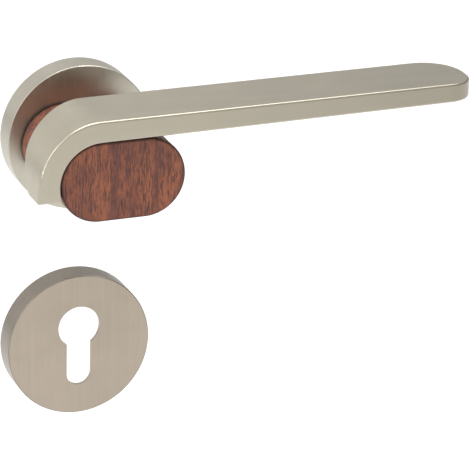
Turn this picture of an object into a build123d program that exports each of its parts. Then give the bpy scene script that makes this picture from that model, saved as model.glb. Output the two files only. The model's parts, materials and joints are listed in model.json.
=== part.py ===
from build123d import *
import math
import os

# Door lever on a round rose, with a wooden grip block, and the matching round
# escutcheon for a euro-profile cylinder.  Millimetres.
# X runs along the lever, +Y goes into the door and Z is up.  The origin is on the
# spindle axis in the plane of the door face, so all that shows has y below 0.

# ---------------------------------------------------------------- driving sizes
DISC_R = 29.0                 # rose and escutcheon share one disc size
DISC_HEIGHT = 10.5            # how far a cover stands off the door
COVER_WALL = 1.5
COVER_EDGE = 0.3              # crisp broken edge of a cover

SPINDLE_TO_KEY = 79.0         # spindle axis to the round of the keyhole
KEY_HEAD_R = 8.5              # euro profile: 17 mm round
KEY_WEB = 10.0                # euro profile: width of the web
KEY_HEIGHT = 33.0             # euro profile: overall height
KEY_ABOVE_CENTRE = 7.5        # round of the keyhole above the disc's centre
KEY_Z = -SPINDLE_TO_KEY
ESC_Z = KEY_Z - KEY_ABOVE_CENTRE

STRAP_BACK = 30.4             # rear edge of the strap, from the door
STRAP_WIDTH = 28.8
STRAP_FRONT = STRAP_BACK + STRAP_WIDTH
STRAP_T = 8.4
STRAP_TIP_T = 7.3
STRAP_TOP = 23.8
STRAP_UNDER = STRAP_TOP - STRAP_T
STRAP_TIP_X = 144.0
TIP_REAR_R = 15.5             # the tip's two corners in plan
TIP_FRONT_R = 10.0
STRAP_EDGE = 0.8

WRAP_X = -8.2                 # centre of the bend round the grip's left end
WRAP_Z = -0.8
WRAP_R = STRAP_TOP - WRAP_Z   # outer radius of the bend
WRAP_INNER_R = WRAP_R - STRAP_T
WRAP_CUT_Z = -6.3             # level at which the lower end of the wrap is cut
WRAP_STRAIGHT = 84.0          # bend angle where the outer face runs on straight
WRAP_REAR = (                 # how much narrower the strap is at each bend angle
    (2.0, -0.1),
    (14.0, 1.2),
    (27.0, 2.6),
    (40.0, 4.1),
    (53.0, 5.4),
    (66.0, 7.1),
    (78.0, 9.5),
    (90.0, 12.6),
    (102.0, 15.4),
    (114.0, 17.0),
)
WRAP_NARROWING = 15.6         # and at that end
WRAP_REAR_BLEND = 14.0        # rounding where the narrowing begins
WRAP_CORNER = 6.0             # rounding of the end's rear corner

GRIP_END_X = 9.8              # centre of the grip's free round end
WOOD_GAP = 0.5                # shadow line between grip and strap
WOOD_R = WRAP_INNER_R - WOOD_GAP
WOOD_BACK = DISC_HEIGHT + 0.4
WOOD_FRONT = STRAP_FRONT - 1.7
WOOD_EDGE = 1.1
WOOD_BOTTOM = WRAP_Z - WOOD_R

FIX_X = 19.0                  # fixing screws on a 38 mm pitch
PLATE_R = 27.0
PLATE_T = 3.0
LUG_R = 4.0                   # lugs that key the plate into the door
LUG_LENGTH = 5.0
RING_R = 0.6                  # rubber ring that grips the cover
RING_CENTRE_R = 26.8
RING_FROM_DOOR = 1.7

SQUARE = 8.0                  # square spindle
SPINDLE_FRONT = 38.0
SPINDLE_REAR = 36.0
SLIDING_GAP = 0.05

JOURNAL_R = 9.0
JOURNAL_REAR = 1.0            # the journal ends this far inside the door's bore
RUNNING_GAP = 0.05
BUSH_R = 11.5
BUSH_FLANGE_R = 12.8
BUSH_FLANGE_T = 0.9
BOSS_R = 13.5
BOSS_HEIGHT = 6.2
RECESS_R = 14.0               # recess in the back of the plate
RECESS_DEPTH = 1.9
COVER_HOLE_R = 10.9

CLIP_T = 1.0
CLIP_GROOVE_R = 8.3
CLIP_R = 11.0
WASHER_T = 0.5
WASHER_R = 13.2

CORE_X = 25.0                 # hub block inside the wood
CORE_Z = 17.0
CORE_FRONT = 44.0
CORE_GAP = 0.1
SEAT_R = 10.3                 # seat of the spring driver, with two flats
SEAT_FLAT = 9.4

DRIVER_FRONT = 8.7
DRIVER_T = 1.2
DRIVER_R = 13.5
DRIVER_ARM_R = 23.5
TAB_INNER_R = 18.0
TAB_DEPTH = 2.6
TAB_WIDTH = 10.0              # degrees of arc

TRAVEL = 40.0                 # lever travel in degrees
REST_ANGLE = 90.0             # the driver's arm points up at rest
STOP_PLAY = 2.5               # degrees left at each end stop
STOP_WIDTH = 8.0              # degrees of arc
STOP_INNER_R = 20.5
STOP_OUTER_R = 24.5
STOP_HEIGHT = 7.1

WIRE_R = 0.55                 # return spring
COIL_R = 15.2
COIL_REAR = 3.7
COIL_PITCH = 1.2
LEG_END_R = 19.8
LEG_ANGLE = 82.9              # leg that the driver's tab pushes
ANCHOR_ANGLE = 262.0          # leg held by the post on the plate
COIL_TURNS = 2 + (ANCHOR_ANGLE - LEG_ANGLE) / 360
POST_ANGLE = 255.6
POST_INNER_R = 17.2
POST_OUTER_R = 21.0
POST_HEIGHT = 6.0

SCREW_R = 1.95                # M4 screws up through the core into the strap
SCREW_X = 8.5
SCREW_FROM_DOOR = 37.0
SCREW_LENGTH = 28.0
SCREW_HEAD_R = 3.5
SCREW_HEAD_T = 4.0
SCREW_HOLE_R = 2.2
PLUG_R = 3.8
PLUG_T = 3.4
HEX_KEY = 3.0                 # across flats

GRUB_R = 2.95                 # M6 grub screw on the spindle
GRUB_FROM_DOOR = 22.0
GRUB_LENGTH = 8.0
GRUB_HOLE_R = 3.0
GRUB_ACCESS_R = 3.2

FIX_R = 2.0                   # countersunk fixing screws into the door
FIX_HEAD_R = 3.9
FIX_HEAD_T = 1.9
FIX_LENGTH = 19.0
FIX_HOLE_R = 2.2
FIX_SLOT = 0.9
FIX_SLOT_DEPTH = 1.1

PASS_R = 13.0                 # half width of the opening in the escutcheon's plate
PASS_TOP_Z = KEY_Z
PASS_LOW_Z = ESC_Z - 9.0

os.makedirs("parts", exist_ok=True)


def facing(height):
    """Plane parallel to the door and this far in front of it, seen from the room."""
    return Plane.XZ.offset(height)


def polar(radius, degrees):
    """Point in a plane facing the room, by radius and angle from +X."""
    angle = math.radians(degrees)
    return (radius * math.cos(angle), radius * math.sin(angle))


def on_bend(radius, bend):
    """Point of the wrap in a plane facing the room, by bend angle from the top."""
    x, z = polar(radius, 90 + bend)
    return (WRAP_X + x, WRAP_Z + z)


def arc_block(inner, outer, middle, width):
    """Sketch of a block bounded by two arcs about the centre, width in degrees."""
    with BuildSketch() as block:
        with BuildLine():
            first, last = middle - width / 2, middle + width / 2
            low = ThreePointArc(polar(inner, first), polar(inner, middle), polar(inner, last))
            high = ThreePointArc(polar(outer, first), polar(outer, middle), polar(outer, last))
            Line(low @ 0, high @ 0)
            Line(low @ 1, high @ 1)
        make_face()
    return block.sketch


def keep(builder, name):
    builder.part.label = name
    export_step(builder.part, f"parts/{name}.step")


# ---------------------------------------------------------------- lever: strap
# Waste that a shear would take off the strap's rear edge round the bend.
with BuildPart() as strap_waste:
    for bend, narrowing in WRAP_REAR:
        near = STRAP_BACK - 6.0
        far = STRAP_BACK + narrowing
        x, z = on_bend(WRAP_R - STRAP_T / 2, bend)
        along = polar(1.0, 180 + bend)
        section = Plane(origin=(x, -(near + far) / 2, z), x_dir=(0, 1, 0), z_dir=(along[0], 0, along[1]))
        with BuildSketch(section):
            Rectangle(far - near, STRAP_T * 2)
    loft()

with BuildPart() as lever_strap:
    cut_inner = math.degrees(math.acos((WRAP_CUT_Z - WRAP_Z) / WRAP_INNER_R))
    # One bent outline: straight bar, wrap to nearly the quarter, short drop, level cut.
    # The underside of the bar rises a little towards the tip.
    with BuildSketch(facing(STRAP_BACK)):
        with BuildLine():
            tip = Line((STRAP_TIP_X, STRAP_TOP - STRAP_TIP_T), (STRAP_TIP_X, STRAP_TOP))
            top = Line(tip @ 1, (WRAP_X, STRAP_TOP))
            outer = ThreePointArc(
                top @ 1, on_bend(WRAP_R, WRAP_STRAIGHT / 2), on_bend(WRAP_R, WRAP_STRAIGHT)
            )
            fall = (outer @ 1).Y - WRAP_CUT_Z
            lean = fall / math.tan(math.radians(WRAP_STRAIGHT))
            drop = Line(outer @ 1, ((outer @ 1).X - lean, WRAP_CUT_Z))
            end = Line(drop @ 1, on_bend(WRAP_INNER_R, cut_inner))
            inner = ThreePointArc(end @ 1, on_bend(WRAP_INNER_R, 50), (WRAP_X, STRAP_UNDER))
            Line(inner @ 1, tip @ 0)
        make_face()
    extrude(amount=STRAP_WIDTH)
    # The tip is rounded in plan, more at the rear than in front.
    front_corner, rear_corner = (
        lever_strap.edges().filter_by(Axis.Z).group_by(Axis.X)[-1].sort_by(Axis.Y)
    )
    fillet(rear_corner, TIP_REAR_R)
    fillet(front_corner, TIP_FRONT_R)
    add(strap_waste.part, mode=Mode.SUBTRACT)
    corner = (WRAP_X - WRAP_R + STRAP_T / 2, -STRAP_BACK - WRAP_NARROWING, WRAP_CUT_Z)
    fillet(lever_strap.edges().sort_by_distance(corner)[0], WRAP_CORNER)
    x, z = on_bend(WRAP_R - STRAP_T / 2, WRAP_REAR[0][0])
    fillet(lever_strap.edges().sort_by_distance((x, -STRAP_BACK, z))[0], WRAP_REAR_BLEND)
    fillet(lever_strap.edges(), STRAP_EDGE)
    # Two blind tapped holes take the screws that come up through the core.
    with BuildSketch(Plane.XY.offset(STRAP_UNDER - 1)):
        with Locations((-SCREW_X, -SCREW_FROM_DOOR), (SCREW_X, -SCREW_FROM_DOOR)):
            Circle(SCREW_R + SLIDING_GAP)
    extrude(amount=SCREW_LENGTH - CORE_Z / 2 - STRAP_UNDER + 2, mode=Mode.SUBTRACT)
keep(lever_strap, "lever_strap")

# ---------------------------------------------------------------- lever: wooden grip
with BuildPart() as wood_block:
    with BuildSketch(facing(WOOD_BACK)):
        with Locations(((WRAP_X + GRIP_END_X) / 2, WRAP_Z)):
            SlotCenterToCenter(GRIP_END_X - WRAP_X, 2 * WOOD_R)
    extrude(amount=WOOD_FRONT - WOOD_BACK)
    ends = wood_block.faces().sort_by(Axis.Y)
    fillet(ends[0].edges() + ends[-1].edges(), WOOD_EDGE)
    # Mortise for the core.
    with BuildSketch(facing(WOOD_BACK)):
        Rectangle(CORE_X + 2 * CORE_GAP, CORE_Z + 2 * CORE_GAP)
    extrude(amount=CORE_FRONT - WOOD_BACK + CORE_GAP, mode=Mode.SUBTRACT)
    # Screw holes: clearance above the core, room for head and plug below it.
    with BuildSketch(Plane.XY):
        with Locations((-SCREW_X, -SCREW_FROM_DOOR), (SCREW_X, -SCREW_FROM_DOOR)):
            Circle(SCREW_HOLE_R)
    extrude(amount=STRAP_TOP, mode=Mode.SUBTRACT)
    with BuildSketch(Plane.XY):
        with Locations((-SCREW_X, -SCREW_FROM_DOOR), (SCREW_X, -SCREW_FROM_DOOR)):
            Circle(PLUG_R)
        with Locations((0, -GRUB_FROM_DOOR)):
            Circle(GRUB_ACCESS_R)
    extrude(amount=-STRAP_TOP, mode=Mode.SUBTRACT)
keep(wood_block, "wood_block")

with BuildPart() as wood_plugs:
    with BuildSketch(Plane.XY.offset(WOOD_BOTTOM)):
        with Locations((-SCREW_X, -SCREW_FROM_DOOR), (SCREW_X, -SCREW_FROM_DOOR)):
            Circle(PLUG_R)
    extrude(amount=PLUG_T)
keep(wood_plugs, "wood_plugs")

# ---------------------------------------------------------------- lever: core and screws
with BuildPart() as hub_core:
    with BuildSketch(facing(WOOD_BACK)):
        Rectangle(CORE_X, CORE_Z)
    extrude(amount=CORE_FRONT - WOOD_BACK)
    fillet(hub_core.edges().filter_by(Axis.Y), 1.0)
    # Seat of the spring driver, a round with two flats.
    with BuildSketch(facing(DRIVER_FRONT - DRIVER_T)):
        Circle(SEAT_R)
        Rectangle(2 * SEAT_FLAT, 2 * SEAT_R, mode=Mode.INTERSECT)
    extrude(amount=WOOD_BACK - DRIVER_FRONT + DRIVER_T)
    # Journal that turns in the bush, with the retaining ring's groove.
    with BuildSketch(facing(-JOURNAL_REAR)):
        Circle(JOURNAL_R)
    extrude(amount=JOURNAL_REAR + DRIVER_FRONT - DRIVER_T)
    with BuildSketch(facing(0)):
        Circle(JOURNAL_R + 1)
        Circle(CLIP_GROOVE_R, mode=Mode.SUBTRACT)
    extrude(amount=CLIP_T, mode=Mode.SUBTRACT)
    # Square socket for the spindle.
    with BuildSketch(facing(-JOURNAL_REAR)):
        Rectangle(SQUARE + 2 * SLIDING_GAP, SQUARE + 2 * SLIDING_GAP)
    extrude(amount=JOURNAL_REAR + SPINDLE_FRONT + SLIDING_GAP, mode=Mode.SUBTRACT)
    with BuildSketch(Plane.XY.offset(-CORE_Z / 2)):
        with Locations((-SCREW_X, -SCREW_FROM_DOOR), (SCREW_X, -SCREW_FROM_DOOR)):
            Circle(SCREW_HOLE_R)
    extrude(amount=CORE_Z, mode=Mode.SUBTRACT)
    with BuildSketch(Plane.XY.offset(-CORE_Z / 2)):
        with Locations((0, -GRUB_FROM_DOOR)):
            Circle(GRUB_HOLE_R)
    extrude(amount=CORE_Z / 2, mode=Mode.SUBTRACT)
keep(hub_core, "hub_core")

with BuildPart() as strap_screws:
    for side in (-1, 1):
        with BuildSketch(Plane.XY.offset(-CORE_Z / 2)):
            with Locations((side * SCREW_X, -SCREW_FROM_DOOR)):
                Circle(SCREW_R)
        extrude(amount=SCREW_LENGTH)
        with BuildSketch(Plane.XY.offset(-CORE_Z / 2)):
            with Locations((side * SCREW_X, -SCREW_FROM_DOOR)):
                Circle(SCREW_HEAD_R)
        extrude(amount=-SCREW_HEAD_T)
        with BuildSketch(Plane.XY.offset(-CORE_Z / 2 - SCREW_HEAD_T)):
            with Locations((side * SCREW_X, -SCREW_FROM_DOOR)):
                RegularPolygon(HEX_KEY / 2, 6, major_radius=False)
        extrude(amount=SCREW_HEAD_T / 2, mode=Mode.SUBTRACT)
keep(strap_screws, "strap_screws")

with BuildPart() as grub_screw:
    with BuildSketch(Plane.XY.offset(-SQUARE / 2)):
        with Locations((0, -GRUB_FROM_DOOR)):
            Circle(GRUB_R)
    extrude(amount=-GRUB_LENGTH)
    with BuildSketch(Plane.XY.offset(-SQUARE / 2 - GRUB_LENGTH)):
        with Locations((0, -GRUB_FROM_DOOR)):
            RegularPolygon(HEX_KEY / 2, 6, major_radius=False)
    extrude(amount=GRUB_LENGTH / 2, mode=Mode.SUBTRACT)
    chamfer(grub_screw.edges().filter_by(GeomType.CIRCLE), 0.4)
keep(grub_screw, "grub_screw")

with BuildPart() as spindle:
    with BuildSketch(facing(-SPINDLE_REAR)):
        Rectangle(SQUARE, SQUARE)
    extrude(amount=SPINDLE_REAR + SPINDLE_FRONT)
    chamfer(spindle.faces().filter_by(Axis.Y).edges(), 0.6)
    chamfer(spindle.edges().filter_by(Axis.Y), 0.3)
keep(spindle, "spindle")

# ---------------------------------------------------------------- lever: driver and retaining parts
with BuildPart() as spring_driver:
    with BuildSketch(facing(DRIVER_FRONT - DRIVER_T)):
        Circle(DRIVER_R)
        add(arc_block(DRIVER_R - 3, DRIVER_ARM_R, REST_ANGLE, TAB_WIDTH))
        with BuildSketch(mode=Mode.SUBTRACT):
            Circle(SEAT_R + SLIDING_GAP)
            Rectangle(2 * (SEAT_FLAT + SLIDING_GAP), 4 * SEAT_R, mode=Mode.INTERSECT)
    extrude(amount=DRIVER_T)
    with BuildSketch(facing(DRIVER_FRONT - DRIVER_T)):
        add(arc_block(TAB_INNER_R, DRIVER_ARM_R, REST_ANGLE, TAB_WIDTH))
    extrude(amount=-TAB_DEPTH)
keep(spring_driver, "spring_driver")

with BuildPart() as thrust_washer:
    with BuildSketch(facing(CLIP_T)):
        Circle(WASHER_R)
        Circle(JOURNAL_R + 2 * RUNNING_GAP, mode=Mode.SUBTRACT)
    extrude(amount=WASHER_T)
keep(thrust_washer, "thrust_washer")

with BuildPart() as retaining_ring:
    with BuildSketch(facing(0)):
        Circle(CLIP_R)
        for side in (-1, 1):
            with Locations(polar(CLIP_R, 90 + side * 14)):
                Circle(1.7)
        Circle(CLIP_GROOVE_R, mode=Mode.SUBTRACT)
        add(arc_block(CLIP_GROOVE_R - 1, CLIP_R + 3, 90, 10), mode=Mode.SUBTRACT)
        for side in (-1, 1):
            with Locations(polar(CLIP_R, 90 + side * 14)):
                Circle(0.7, mode=Mode.SUBTRACT)
    extrude(amount=CLIP_T)
keep(retaining_ring, "retaining_ring")

# ---------------------------------------------------------------- rose
with BuildPart() as journal_bush:
    with BuildSketch(facing(RECESS_DEPTH)):
        Circle(BUSH_R)
    extrude(amount=BOSS_HEIGHT - RECESS_DEPTH)
    with BuildSketch(facing(BOSS_HEIGHT)):
        Circle(BUSH_FLANGE_R)
    extrude(amount=BUSH_FLANGE_T)
    with BuildSketch(facing(RECESS_DEPTH)):
        Circle(JOURNAL_R + RUNNING_GAP)
    extrude(amount=DISC_HEIGHT, mode=Mode.SUBTRACT)
keep(journal_bush, "journal_bush")


def cover(centre_z, hole):
    """Cup-shaped disc cover about (0, centre_z) with a hole in its front wall."""
    with BuildPart() as cup:
        with BuildSketch(facing(0)):
            with Locations((0, centre_z)):
                Circle(DISC_R)
        extrude(amount=DISC_HEIGHT)
        front = cup.faces().sort_by(Axis.Y)[0]
        fillet(front.edges(), COVER_EDGE)
        with BuildSketch(facing(0)):
            with Locations((0, centre_z)):
                Circle(DISC_R - COVER_WALL)
        extrude(amount=DISC_HEIGHT - COVER_WALL, mode=Mode.SUBTRACT)
        with BuildSketch(facing(0)):
            add(hole)
        extrude(amount=DISC_HEIGHT, mode=Mode.SUBTRACT)
    return cup


def base_plate(centre_z, opening):
    """Flat base plate with two keyed lugs, countersunk holes and a ring groove."""
    with BuildPart() as plate:
        with BuildSketch(facing(0)):
            with Locations((0, centre_z)):
                Circle(PLATE_R)
        extrude(amount=PLATE_T)
        with BuildSketch(facing(0)):
            with Locations((-FIX_X, centre_z), (FIX_X, centre_z)):
                Circle(LUG_R)
        extrude(amount=-LUG_LENGTH)
        with BuildSketch(facing(RING_FROM_DOOR - RING_R - SLIDING_GAP)):
            with Locations((0, centre_z)):
                Circle(DISC_R)
                Circle(RING_CENTRE_R - RING_R - SLIDING_GAP, mode=Mode.SUBTRACT)
        extrude(amount=2 * (RING_R + SLIDING_GAP), mode=Mode.SUBTRACT)
        with Locations(Plane(origin=(-FIX_X, -PLATE_T, centre_z), z_dir=(0, -1, 0)),
                       Plane(origin=(FIX_X, -PLATE_T, centre_z), z_dir=(0, -1, 0))):
            CounterSinkHole(FIX_HOLE_R, FIX_HEAD_R + SLIDING_GAP)
        with BuildSketch(facing(0)):
            add(opening)
        extrude(amount=PLATE_T, mode=Mode.SUBTRACT)
    return plate


def fixing_screws(centre_z):
    """Two countersunk wood screws with a cross slot."""
    with BuildPart() as screws:
        for side in (-1, 1):
            axis_at = Plane(origin=(side * FIX_X, -PLATE_T, centre_z), x_dir=(1, 0, 0), z_dir=(0, 1, 0))
            with BuildSketch(Plane(axis_at.origin, x_dir=(1, 0, 0), z_dir=(0, 0, 1))):
                with BuildLine():
                    Polyline(
                        (0, 0),
                        (FIX_HEAD_R, 0),
                        (FIX_R, FIX_HEAD_T),
                        (FIX_R, FIX_LENGTH - 2 * FIX_R),
                        (0, FIX_LENGTH),
                        close=True,
                    )
                make_face()
            revolve(axis=Axis(axis_at.origin, (0, 1, 0)))
            with BuildSketch(axis_at):
                Rectangle(FIX_SLOT, FIX_HEAD_R)
                Rectangle(FIX_HEAD_R, FIX_SLOT)
            extrude(amount=FIX_SLOT_DEPTH, mode=Mode.SUBTRACT)
    return screws


def cover_ring(centre_z):
    """Rubber ring in the plate's groove that grips the cover."""
    with BuildPart() as ring:
        with BuildSketch(Plane(origin=(0, -RING_FROM_DOOR, centre_z), x_dir=(1, 0, 0), z_dir=(0, 0, 1))):
            with Locations((RING_CENTRE_R, 0)):
                Circle(RING_R)
        revolve(axis=Axis((0, -RING_FROM_DOOR, centre_z), (0, 1, 0)))
    return ring


with BuildSketch() as rose_hole:
    Circle(COVER_HOLE_R)
with BuildSketch() as bush_hole:
    Circle(BUSH_R)

rose_cover = cover(0, rose_hole.sketch)
keep(rose_cover, "rose_cover")

rose_blank = base_plate(0, bush_hole.sketch)
with BuildPart() as rose_plate:
    add(rose_blank.part)
    # Boss that carries the bush.
    with BuildSketch(facing(PLATE_T)):
        Circle(BOSS_R)
        Circle(BUSH_R, mode=Mode.SUBTRACT)
    extrude(amount=BOSS_HEIGHT - PLATE_T)
    # Recess for the washer and the retaining ring.
    with BuildSketch(facing(0)):
        Circle(RECESS_R)
    extrude(amount=RECESS_DEPTH, mode=Mode.SUBTRACT)
    # Stops at both ends of the travel, and the post that holds the spring.
    first_stop = REST_ANGLE + TAB_WIDTH / 2 + STOP_PLAY + STOP_WIDTH / 2
    last_stop = REST_ANGLE - TRAVEL - TAB_WIDTH / 2 - STOP_PLAY - STOP_WIDTH / 2
    for stop in (first_stop, last_stop):
        with BuildSketch(facing(PLATE_T)):
            add(arc_block(STOP_INNER_R, STOP_OUTER_R, stop, STOP_WIDTH))
        extrude(amount=STOP_HEIGHT - PLATE_T)
    with BuildSketch(facing(PLATE_T)):
        add(arc_block(POST_INNER_R, POST_OUTER_R, POST_ANGLE, STOP_WIDTH))
    extrude(amount=POST_HEIGHT - PLATE_T)
keep(rose_plate, "rose_plate")

rose_screws = fixing_screws(0)
keep(rose_screws, "rose_screws")
rose_ring = cover_ring(0)
keep(rose_ring, "rose_ring")

# Return spring: coils round the boss, with a leg standing out at each end.
anchor = polar(1.0, ANCHOR_ANGLE)
coil_frame = Plane(origin=(0, -COIL_REAR, 0), x_dir=(anchor[0], 0, anchor[1]), z_dir=(0, -1, 0))
coil = coil_frame * Helix(COIL_PITCH, COIL_PITCH * COIL_TURNS, COIL_R, lefthand=True)
with BuildPart() as return_spring:
    with BuildLine():
        add(coil)
    with BuildSketch(Plane(origin=coil @ 0, z_dir=coil % 0)):
        Circle(WIRE_R)
    sweep(is_frenet=True)
    for corner in (coil @ 0, coil @ 1):
        outward = Vector(corner.X, 0, corner.Z).normalized()
        with BuildSketch(Plane(origin=corner, z_dir=outward)):
            Circle(WIRE_R)
        extrude(amount=LEG_END_R - COIL_R)
        with Locations(corner):
            Sphere(WIRE_R)
keep(return_spring, "return_spring")

# ---------------------------------------------------------------- escutcheon
with BuildSketch() as keyhole:
    with Locations((0, KEY_Z)):
        Circle(KEY_HEAD_R)
    web_low = KEY_Z + KEY_HEAD_R - KEY_HEIGHT + KEY_WEB / 2
    with Locations((0, (KEY_Z + web_low) / 2)):
        Rectangle(KEY_WEB, KEY_Z - web_low)
    with Locations((0, web_low)):
        Circle(KEY_WEB / 2)

with BuildSketch() as cylinder_pass:
    with Locations((0, (PASS_TOP_Z + PASS_LOW_Z) / 2)):
        SlotCenterToCenter(PASS_TOP_Z - PASS_LOW_Z, 2 * PASS_R, rotation=90)

escutcheon_cover = cover(ESC_Z, keyhole.sketch)
keep(escutcheon_cover, "escutcheon_cover")
escutcheon_plate = base_plate(ESC_Z, cylinder_pass.sketch)
keep(escutcheon_plate, "escutcheon_plate")
escutcheon_screws = fixing_screws(ESC_Z)
keep(escutcheon_screws, "escutcheon_screws")
escutcheon_ring = cover_ring(ESC_Z)
keep(escutcheon_ring, "escutcheon_ring")
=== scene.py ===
import bmesh
import bpy
import json
import math
from mathutils import Matrix, Vector


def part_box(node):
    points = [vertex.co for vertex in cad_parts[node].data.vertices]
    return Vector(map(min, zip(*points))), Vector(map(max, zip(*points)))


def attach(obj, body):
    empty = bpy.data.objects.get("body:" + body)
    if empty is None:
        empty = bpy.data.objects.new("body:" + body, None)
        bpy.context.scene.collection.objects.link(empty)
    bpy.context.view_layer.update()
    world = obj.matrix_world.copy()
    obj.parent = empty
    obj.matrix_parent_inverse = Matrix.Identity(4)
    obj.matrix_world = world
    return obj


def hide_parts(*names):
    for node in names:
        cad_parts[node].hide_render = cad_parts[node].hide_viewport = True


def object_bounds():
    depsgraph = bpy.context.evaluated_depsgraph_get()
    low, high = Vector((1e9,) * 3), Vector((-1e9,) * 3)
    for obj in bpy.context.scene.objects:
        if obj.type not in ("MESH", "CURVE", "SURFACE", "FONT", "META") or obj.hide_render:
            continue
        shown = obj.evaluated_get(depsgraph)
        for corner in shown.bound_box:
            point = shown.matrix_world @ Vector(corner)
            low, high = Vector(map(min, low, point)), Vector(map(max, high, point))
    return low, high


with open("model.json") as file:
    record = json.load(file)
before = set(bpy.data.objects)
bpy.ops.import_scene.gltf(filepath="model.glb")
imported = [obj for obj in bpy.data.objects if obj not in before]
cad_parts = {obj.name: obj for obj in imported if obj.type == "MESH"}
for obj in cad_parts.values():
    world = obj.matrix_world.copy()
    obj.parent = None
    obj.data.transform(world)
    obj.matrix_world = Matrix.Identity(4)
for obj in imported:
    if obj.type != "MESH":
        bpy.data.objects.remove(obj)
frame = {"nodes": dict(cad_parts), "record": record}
cad_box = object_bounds()
nodes = frame["nodes"]
mm = 0.001


# ---------------------------------------------------------------- finishes
class Link:
    """One output in a node tree. Arithmetic on it adds Math nodes."""

    def __init__(self, nodes, output):
        self.nodes = nodes
        self.output = output

    def math(self, operation, *others):
        return self.nodes.maths(operation, self, *others)

    def __add__(self, other):
        return self.math("ADD", other)

    def __mul__(self, other):
        return self.math("MULTIPLY", other)

    def __sub__(self, other):
        return self.math("SUBTRACT", other)

    def __rsub__(self, other):
        return self.nodes.maths("SUBTRACT", other, self)

    def __pow__(self, other):
        return self.math("POWER", other)

    __radd__ = __add__
    __rmul__ = __mul__

    def ramp(self, low, high, start=0.0, end=1.0):
        """Smooth step from start to end while this goes from low to high."""
        return self.nodes.node(
            "ShaderNodeMapRange",
            {"interpolation_type": "SMOOTHSTEP"},
            {"Value": self, "From Min": low, "From Max": high, "To Min": start, "To Max": end},
        )


class Nodes:
    """A node tree that is filled by calls."""

    def __init__(self, tree):
        self.tree = tree

    def feed(self, socket, value):
        if isinstance(value, Link):
            self.tree.links.new(value.output, socket)
        else:
            socket.default_value = value

    def node(self, kind, settings, sockets, output=0):
        made = self.tree.nodes.new(kind)
        for name, value in settings.items():
            setattr(made, name, value)
        for name, value in sockets.items():
            self.feed(made.inputs[name], value)
        return Link(self, made.outputs[output])

    def maths(self, operation, *values):
        return self.node("ShaderNodeMath", {"operation": operation}, dict(enumerate(values)))

    def axes(self, vector):
        parts = self.node("ShaderNodeSeparateXYZ", {}, {0: vector})
        return [Link(self, output) for output in parts.output.node.outputs]


class Finish(Nodes):
    """The material of one kind of surface."""

    def __init__(self, name, **constants):
        self.material = bpy.data.materials.new(name)
        self.material.use_nodes = True
        super().__init__(self.material.node_tree)
        self.shader = self.tree.nodes["Principled BSDF"]
        self.set(**constants)
        self.place = self.node("ShaderNodeTexCoord", {}, {}, "Object")

    def set(self, **sockets):
        for name, value in sockets.items():
            self.feed(self.shader.inputs[name.replace("_", " ")], value)

    def vector(self, x, y, z):
        return self.node("ShaderNodeCombineXYZ", {}, {0: x, 1: y, 2: z})

    def noise(self, vector, scale, detail=2.0, rough=0.5):
        sockets = {"Vector": vector, "Scale": scale, "Detail": detail, "Roughness": rough}
        return self.node("ShaderNodeTexNoise", {}, sockets)

    def blend(self, share, first, second):
        """Colour that goes from first to second. The Mix node's colour sockets are 6 and 7 going
        in and 2 coming out."""
        sockets = {0: share, 6: first, 7: second}
        return self.node("ShaderNodeMix", {"data_type": "RGBA"}, sockets, 2)

    def bump(self, height, depth, strength):
        sockets = {"Height": height, "Distance": depth, "Strength": strength}
        return self.node("ShaderNodeBump", {}, sockets)


def rgb(red, green, blue):
    return (red, green, blue, 1.0)


strap_low, strap_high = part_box("lever_strap")
wood_low, wood_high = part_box("wood_block")
wood_middle = (wood_low + wood_high) / 2
wood_half = (wood_high - wood_low) / 2
wood_radius = wood_half.z
wrap_x = wood_low.x + wood_radius
wrap_z = wood_middle.z
BRUSH_DRAW = 0.012  # how much slower the pattern changes along the brushing


def satin_nickel(name, grain, painted_light_share, dull, bright, contrast=0.35):
    """Finely brushed nickel. grain(finish) gives coordinates that hardly change along the
    brushing, and the third argument the share of the bright tone, a painted light and shade, which
    varies by the contrast."""
    finish = Finish(name, Metallic=1.0)
    lines = finish.noise(grain(finish), 2300.0, 3.0, 0.65)
    broad = finish.noise(grain(finish), 380.0, 2.0, 0.5)
    cloud = finish.noise(finish.place, 32.0, 3.0, 0.55)
    smudge = finish.noise(finish.place, 120.0, 4.0, 0.6)
    spread = lines.ramp(0.3, 0.7) * 0.4 + broad.ramp(0.3, 0.7) * 0.2 + cloud.ramp(0.3, 0.7) * 0.4
    # Base colour: painted light and shade from the given share, plus random brushed tone.
    finish.set(
        Base_Color=finish.blend(painted_light_share(finish) + (spread - 0.5) * contrast, dull, bright),
        Roughness=lines.ramp(0.25, 0.75, 0.28, 0.36) + smudge.ramp(0.45, 0.75, 0.0, 0.05),
        Normal=finish.bump(lines, 0.005 * mm, 1.0),
    )
    return finish.material


def painted_light_along_bar(finish):
    """Painted light and shade: brighter at the wrap than at the tip."""
    at_wrap, at_tip = 0.92, 0.08
    x, y, z = finish.axes(finish.place)
    return at_wrap - (x - strap_low.x) * ((at_wrap - at_tip) / (strap_high.x - strap_low.x))


def face_and_shaded_rim(node, face, shaded_rim):
    """The given shares of the bright tone on a disc's face and on its rim; the rim's lower share is
    painted shade.
    """
    low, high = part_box(node)
    middle = (low + high) / 2

    def painted_light_share(finish):
        x, y, z = finish.axes(finish.place)
        side = x - middle.x
        up = z - middle.z
        radius = (side * side + up * up) ** 0.5
        edge = high.x - middle.x
        # Painted shade: the rim gets a darker tone than the face.
        return radius.ramp(edge - 0.5 * mm, edge - 0.1 * mm, face, shaded_rim)

    return painted_light_share


def along_strap(finish):
    """Brushing that runs along the bar and on round the bend."""
    x, y, z = finish.axes(finish.place)
    left = (x - wrap_x).math("MINIMUM", 0.0)
    up = z - wrap_z
    depth = (left * left + up * up) ** 0.5
    return finish.vector(x * BRUSH_DRAW, y, depth)


def up_disc(finish):
    """Upright brushing on the face of a disc."""
    x, y, z = finish.axes(finish.place)
    return finish.vector(x, y, z * BRUSH_DRAW)


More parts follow.
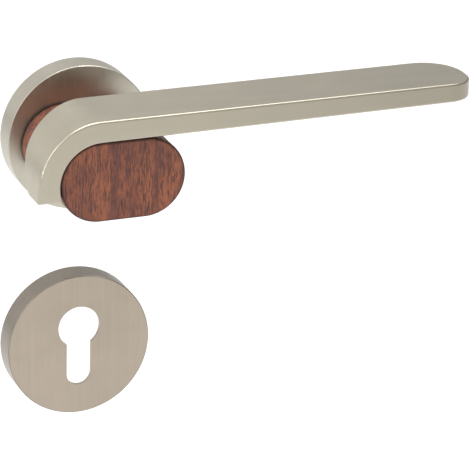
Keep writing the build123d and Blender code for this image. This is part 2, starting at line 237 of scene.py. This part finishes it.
def wood_finish():
    """Oiled reddish hardwood, its grain running up through the grip."""
    finish = Finish("oiled_hardwood", Specular_IOR_Level=0.35)
    x, y, z = finish.axes(finish.place)
    sway = finish.noise(finish.vector(x, y, z * 0.7), 130.0, 2.0, 0.5) - 0.5
    side = x + sway * (2.4 * mm)
    band = finish.noise(finish.vector(side, y, z * 0.05), 190.0, 2.0, 0.5)
    streak = finish.noise(finish.vector(side, y, z * 0.12), 900.0, 3.0, 0.6)
    patch = finish.noise(finish.vector(x, y, z * 0.6), 150.0, 3.0, 0.6)
    pore = finish.noise(finish.vector(side, y, z * 0.11), 1700.0, 2.0, 0.5)
    fleck = finish.noise(finish.vector(side, y, z * 0.16), 2600.0, 2.0, 0.5)
    fibre = finish.noise(finish.vector(side, y, z * 0.04), 4200.0, 2.0, 0.5)
    pores = pore.ramp(0.535, 0.585)
    flecks = fleck.ramp(0.555, 0.6)
    ground = finish.blend(patch.ramp(0.35, 0.65), rgb(0.19, 0.063, 0.037), rgb(0.285, 0.094, 0.046))
    ground = finish.blend(band.ramp(0.52, 0.62) * 0.55, ground, rgb(0.1, 0.038, 0.034))
    ground = finish.blend(streak.ramp(0.5, 0.64) * 0.35, ground, rgb(0.095, 0.038, 0.032))
    ground = finish.blend(pores * 0.72, ground, rgb(0.072, 0.03, 0.027))
    ground = finish.blend(flecks * 0.5, ground, rgb(0.05, 0.024, 0.024))
    # Painted shade: near-black along the rounded edges of the grip's faces.
    ground = finish.blend(painted_shade_at_grip_edges(finish, x, y, z) * 0.85, ground, rgb(0.03, 0.012, 0.01))
    finish.set(
        Base_Color=ground,
        Roughness=streak.ramp(0.3, 0.7, 0.45, 0.57),
        Normal=finish.bump(fibre * 0.3 - pores * 0.7, 0.05 * mm, 0.6),
    )
    return finish.material


def painted_shade_at_grip_edges(finish, x, y, z):
    """1 on the rounded edges of the grip's two faces, where shade is painted."""
    reach = wood_half.x - wood_radius
    beyond = ((x - wood_middle.x).math("ABSOLUTE") - reach).math("MAXIMUM", 0.0)
    up = z - wood_middle.z
    out = (beyond * beyond + up * up) ** 0.5
    from_middle = (y - wood_middle.y).math("ABSOLUTE")
    near_side = out.ramp(wood_radius - 1.3 * mm, wood_radius - 0.2 * mm)
    near_face = from_middle.ramp(wood_half.y - 1.6 * mm, wood_half.y - 0.6 * mm)
    return near_side * near_face


def plain_finish(name, low, high, rough, scale, depth, metallic=1.0):
    """A fine random surface, patchy in tone and gloss, with pits of the given depth in mm."""
    finish = Finish(name, Metallic=metallic)
    fine = finish.noise(finish.place, scale, 3.0, 0.6)
    cloud = finish.noise(finish.place, scale * 0.09, 3.0, 0.6)
    share = cloud.ramp(0.3, 0.7) * 0.6 + fine.ramp(0.3, 0.7) * 0.4
    finish.set(
        Base_Color=finish.blend(share, rgb(*low), rgb(*high)),
        Roughness=fine.ramp(0.25, 0.75, rough - 0.06, rough + 0.06),
        Normal=finish.bump(fine, depth * mm, 0.8),
    )
    return finish.material


# Slot: name, darker and lighter tone, roughness, scale and depth of the pits, metallic.
PLAIN = {
    "cast_zinc": ("cast_zinc", (0.3, 0.3, 0.31), (0.42, 0.42, 0.43), 0.5, 1500.0, 0.05),
    "zinc_steel": ("zinc_plate", (0.46, 0.48, 0.52), (0.58, 0.59, 0.6), 0.3, 1800.0, 0.0012),
    "black_steel": ("black_oxide", (0.02, 0.02, 0.022), (0.045, 0.045, 0.05), 0.45, 2000.0, 0.004),
    "pressed_steel": ("pressed_sheet", (0.36, 0.36, 0.37), (0.48, 0.48, 0.49), 0.36, 1800.0, 0.003),
    "spring_steel": ("spring_steel", (0.2, 0.21, 0.23), (0.3, 0.31, 0.33), 0.33, 2000.0, 0.002),
    "nylon": ("natural_nylon", (0.68, 0.66, 0.58), (0.78, 0.76, 0.68), 0.42, 1400.0, 0.01, 0.0),
    "rubber": ("nitrile_rubber", (0.012,) * 3, (0.028,) * 3, 0.62, 1600.0, 0.02, 0.0),
}
finishes = {slot: plain_finish(*row) for slot, row in PLAIN.items()}
finishes["wood"] = wood_finish()
dressed = {
    "lever_strap": satin_nickel(
        "brushed_strap",
        along_strap,
        # Painted light and shade along the bar: brighter at the wrap, darker at the tip.
        painted_light_along_bar,
        dull=rgb(0.357, 0.331, 0.271),
        bright=rgb(0.478, 0.444, 0.363),
    ),
    "rose_cover": satin_nickel(
        "brushed_rose",
        up_disc,
        face_and_shaded_rim("rose_cover", face=0.9, shaded_rim=0.2),
        dull=rgb(0.42, 0.395, 0.335),
        bright=rgb(0.54, 0.52, 0.45),
    ),
    "escutcheon_cover": satin_nickel(
        "brushed_escutcheon",
        up_disc,
        face_and_shaded_rim("escutcheon_cover", face=0.5, shaded_rim=0.1),
        # Very dark dull tone, which serves the painted shade on the rim.
        dull=rgb(0.215, 0.193, 0.165),
        bright=rgb(0.575, 0.489, 0.397),
        contrast=0.2,
    ),
}
slots = {part["node"]: part["material_slot"] for part in frame["record"]["subparts"]}


def dress(piece, material):
    piece.data.materials.clear()
    piece.data.materials.append(material)


for name, node in nodes.items():
    dress(node, dressed.get(name) or finishes[slots[name]])


# ---------------------------------------------------------------- threaded fixing screws
HEAD_KEPT = 2.6 * mm  # length of the plain screw that stays, with its slotted head
SHANK_START = 2.2 * mm
SHANK_END = 7.4 * mm
NECK_END = 8.2 * mm
THREAD_START = 8.0 * mm
THREAD_PITCH = 1.4 * mm
ROOT_R = 1.4 * mm
CREST_R = 1.95 * mm
POINT_LENGTH = 4.2 * mm
POINT_NARROWING = 0.75  # share of the radius that the thread loses along the point
THREAD_STEPS_A_TURN = 28
SHARP_ANGLE = math.radians(32)


def new_object(name, shape):
    """Scene object at the origin from a bmesh, which is freed."""
    mesh = bpy.data.meshes.new(name)
    shape.to_mesh(mesh)
    shape.free()
    made = bpy.data.objects.new(name, mesh)
    bpy.context.scene.collection.objects.link(made)
    return made


def turned_solid(shape, axis_at, outline, steps):
    """Spins (radius, depth) points about an axis that points into the door."""
    points = [shape.verts.new(axis_at + Vector((radius, depth, 0))) for radius, depth in outline]
    edges = [shape.edges.new(pair) for pair in zip(points, points[1:])]
    bmesh.ops.spin(
        shape,
        geom=points + edges,
        cent=axis_at,
        axis=(0, 1, 0),
        angle=math.tau,
        steps=steps,
        use_merge=True,
    )


def thread(shape, axis_at, end, taper):
    """Thread cut down to end: its section spun and moved on, drawn in from taper to the point."""
    inner = ROOT_R - 0.05 * mm
    section = [(inner, -0.3), (CREST_R, -0.06), (CREST_R, 0.06), (inner, 0.3)]
    points = [
        shape.verts.new(axis_at + Vector((radius, THREAD_START + turn * THREAD_PITCH, 0)))
        for radius, turn in section
    ]
    edges = [shape.edges.new(pair) for pair in zip(points, points[1:] + points[:1])]
    turns = (end - THREAD_START) / THREAD_PITCH
    steps = int(turns * THREAD_STEPS_A_TURN)
    before = set(shape.verts) - set(points)
    bmesh.ops.spin(
        shape,
        geom=points + edges,
        cent=axis_at,
        axis=(0, 1, 0),
        dvec=(0, (end - THREAD_START) / steps, 0),
        angle=turns * math.tau,
        steps=steps,
    )
    bmesh.ops.holes_fill(shape, edges=[e for e in shape.edges if e.is_boundary])
    for vert in set(shape.verts) - before:
        depth = vert.co.y - axis_at.y
        share = min(1.0, max(0.0, (depth - taper) / (end - taper)))
        left = 1 - POINT_NARROWING * share
        vert.co.x = axis_at.x + (vert.co.x - axis_at.x) * left
        vert.co.z = axis_at.z + (vert.co.z - axis_at.z) * left


def fixing_screws(name, node):
    """Two countersunk screws with a cut thread, which stand for a plain pair."""
    low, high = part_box(node)
    length = high.y - low.y
    shape = bmesh.new()
    shape.from_mesh(nodes[node].data)
    bmesh.ops.remove_doubles(shape, verts=shape.verts, dist=0.001 * mm)
    bmesh.ops.bisect_plane(
        shape,
        geom=shape.verts[:] + shape.edges[:] + shape.faces[:],
        plane_co=(0, low.y + HEAD_KEPT, 0),
        plane_no=(0, 1, 0),
        clear_outer=True,
    )
    bmesh.ops.holes_fill(shape, edges=[e for e in shape.edges if e.is_boundary])
    head = (high.z - low.z) / 2
    cone = length - POINT_LENGTH
    body = [
        (0, SHANK_START),
        (CREST_R, SHANK_START),
        (CREST_R, SHANK_END),
        (ROOT_R, NECK_END),
        (ROOT_R, cone),
        (0.3 * mm, length - 0.5 * mm),
        (0, length - 0.2 * mm),
    ]
    for side in (low.x + head, high.x - head):
        axis_at = Vector((side, low.y, (low.z + high.z) / 2))
        turned_solid(shape, axis_at, body, steps=32)
        thread(shape, axis_at, length - 0.9 * mm, cone)
    bmesh.ops.remove_doubles(shape, verts=shape.verts, dist=0.001 * mm)
    bmesh.ops.recalc_face_normals(shape, faces=shape.faces)
    for face in shape.faces:
        face.smooth = True
    for edge in shape.edges:
        edge.smooth = edge.is_manifold and edge.calc_face_angle(0.0) < SHARP_ANGLE
    made = new_object(name, shape)
    dress(made, finishes[slots[node]])
    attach(made, "root")
    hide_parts(node)


fixing_screws("rose_fixing_screws", "rose_screws")
fixing_screws("escutcheon_fixing_screws", "escutcheon_screws")


# ---------------------------------------------------------------- studio
FLOOR_HALF = 6.0
FLOOR_DROP = 0.16

low, high = cad_box
centre = (low + high) / 2
flat = bmesh.new()
bmesh.ops.create_grid(flat, x_segments=2, y_segments=2, size=FLOOR_HALF)
bmesh.ops.translate(flat, verts=flat.verts, vec=(centre.x, centre.y, low.z - FLOOR_DROP))
floor = new_object("floor", flat)
paper = Finish("floor_paper", Roughness=0.9)
fibres = paper.noise(paper.place, 400.0).ramp(0.3, 0.7)
paper.set(Base_Color=paper.blend(fibres, rgb(0.86, 0.86, 0.86), rgb(0.88, 0.88, 0.88)))
dress(floor, paper.material)

scene = bpy.context.scene
scene.view_settings.view_transform = "Standard"
scene.world = bpy.data.worlds.new("studio")
scene.world.use_nodes = True
# Soft light from all round, dimmer towards the right and the top.
sky = Nodes(scene.world.node_tree)
to_right, _, to_top = sky.axes(sky.node("ShaderNodeTexCoord", {}, {}, "Generated"))
backdrop = sky.tree.nodes["Background"].inputs
sky.feed(backdrop["Color"], rgb(1.0, 0.985, 0.96))
sky.feed(backdrop["Strength"], 0.9 - to_right * 0.42 - to_top * 0.12)


def softbox(name, offset, size, power):
    """Rectangular light at an offset from the part's middle, aimed at it."""
    light = bpy.data.lights.new(name, "AREA")
    light.shape = "RECTANGLE"
    light.size, light.size_y = size
    light.energy = power
    made = bpy.data.objects.new(name, light)
    made.location = centre + Vector(offset)
    made.rotation_euler = (-Vector(offset)).to_track_quat("-Z", "Y").to_euler()
    scene.collection.objects.link(made)


softbox("overhead", (0.1, 0.25, 1.4), (1.4, 1.4), 22.0)
softbox("left", (-1.1, -0.9, 0.7), (0.7, 0.7), 5.0)


# ---------------------------------------------------------------- camera
camera = bpy.data.objects.new("camera", bpy.data.cameras.new("camera"))
scene.collection.objects.link(camera)
scene.camera = camera
camera.data.sensor_width = 36.0
camera.data.lens = 268.1
camera.data.clip_start = 0.05
camera.data.clip_end = 30.0
distance = 1.35235
azimuth, elevation, roll = (math.radians(a) for a in (-21.846, 21.532, 1.461))
ahead = Vector(
    (
        -math.sin(azimuth) * math.cos(elevation),
        math.cos(azimuth) * math.cos(elevation),
        -math.sin(elevation),
    )
)
aim = Vector((54.09, -37.28, -36.69)) * mm
camera.location = aim - ahead * distance
camera.rotation_euler = (
    (ahead.to_track_quat("-Z", "Y").to_matrix() @ Matrix.Rotation(roll, 3, "Z")).to_euler()
)
